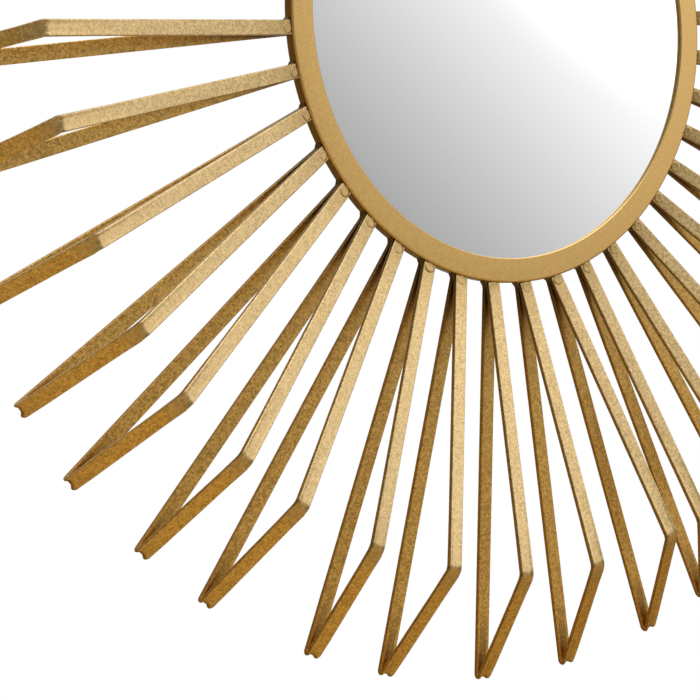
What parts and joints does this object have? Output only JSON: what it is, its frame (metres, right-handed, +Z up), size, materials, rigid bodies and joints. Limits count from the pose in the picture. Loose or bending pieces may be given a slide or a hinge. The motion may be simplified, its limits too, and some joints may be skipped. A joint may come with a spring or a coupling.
{
  "type": "sunburst wall mirror",
  "caption": "Round wall mirror in a flat ring frame, surrounded by folded flat-bar metal rays that stand off the wall at a knee and fold back to it at their tips.",
  "frame": {"origin": "on the wall plane, behind the centre of the glass", "axes": "+Z up, -Y the way the mirror faces, +Y into the wall, +X to the right seen from the front"},
  "size_m": [0.9136, 0.0579, 0.9144],
  "materials": {
    "ray_gold": "metallic champagne gold paint, satin with a fine sparkle",
    "ring_gold": "metallic gold paint, satin",
    "mirror": "silvered glass, polished",
    "foam": "closed-cell foam",
    "board": "hardboard, smooth side out",
    "steel": "zinc-plated steel",
    "rubber": "matt black"
  },
  "bodies": {
    "frame": {"ring_frame": "ring_gold", "mirror_glass": "mirror", "foam_pad": "foam", "backing_board": "board", "ray_01": "ray_gold", "ray_02": "ray_gold", "ray_03": "ray_gold", "ray_04": "ray_gold", "ray_05": "ray_gold", "ray_06": "ray_gold", "ray_07": "ray_gold", "ray_08": "ray_gold", "ray_09": "ray_gold", "ray_10": "ray_gold", "ray_11": "ray_gold", "ray_12": "ray_gold", "ray_13": "ray_gold", "ray_14": "ray_gold", "ray_15": "ray_gold", "ray_16": "ray_gold", "ray_17": "ray_gold", "ray_18": "ray_gold", "ray_19": "ray_gold", "ray_20": "ray_gold", "ray_21": "ray_gold", "ray_22": "ray_gold", "ray_23": "ray_gold", "ray_24": "ray_gold", "ray_25": "ray_gold", "ray_26": "ray_gold", "ray_27": "ray_gold", "ray_28": "ray_gold", "ray_29": "ray_gold", "ray_30": "ray_gold", "ray_31": "ray_gold", "ray_32": "ray_gold", "ray_33": "ray_gold", "ray_34": "ray_gold", "ray_35": "ray_gold", "ray_36": "ray_gold", "ray_37": "ray_gold", "ray_38": "ray_gold", "ray_39": "ray_gold", "ray_40": "ray_gold", "button_screw_1": "steel", "button_screw_2": "steel", "button_screw_3": "steel", "button_screw_4": "steel", "hanger_strap_right": "steel", "hanger_screw_right": "steel", "hanger_strap_left": "steel", "hanger_screw_left": "steel", "bumper_left": "rubber", "bumper_right": "rubber"},
    "turn_button_1": {"turn_button_1": "steel"},
    "turn_button_2": {"turn_button_2": "steel"},
    "turn_button_3": {"turn_button_3": "steel"},
    "turn_button_4": {"turn_button_4": "steel"},
    "d_ring_right": {"d_ring_right": "steel"},
    "d_ring_left": {"d_ring_left": "steel"}
  },
  "joints": [
    {"name": "button_1_swivel", "type": "hinge", "parent": "frame", "child": "turn_button_1", "pos_m": [0.1752, -0.0041, 0], "axis": [0, 1, 0], "continuous": true},
    {"name": "button_2_swivel", "type": "hinge", "parent": "frame", "child": "turn_button_2", "pos_m": [0, -0.0041, 0.1752], "axis": [0, 1, 0], "continuous": true},
    {"name": "button_3_swivel", "type": "hinge", "parent": "frame", "child": "turn_button_3", "pos_m": [-0.1752, -0.0041, 0], "axis": [0, 1, 0], "continuous": true},
    {"name": "button_4_swivel", "type": "hinge", "parent": "frame", "child": "turn_button_4", "pos_m": [0, -0.0041, -0.1752], "axis": [0, 1, 0], "continuous": true},
    {"name": "d_ring_right_swing", "type": "hinge", "parent": "frame", "child": "d_ring_right", "pos_m": [0.12042, -0.0025, 0.10105], "axis": [0.6428, 0, -0.766], "range_deg": [0, 150]},
    {"name": "d_ring_left_swing", "type": "hinge", "parent": "frame", "child": "d_ring_left", "pos_m": [-0.12042, -0.0025, 0.10105], "axis": [0.6428, 0, 0.766], "range_deg": [0, 150]}
  ]
}
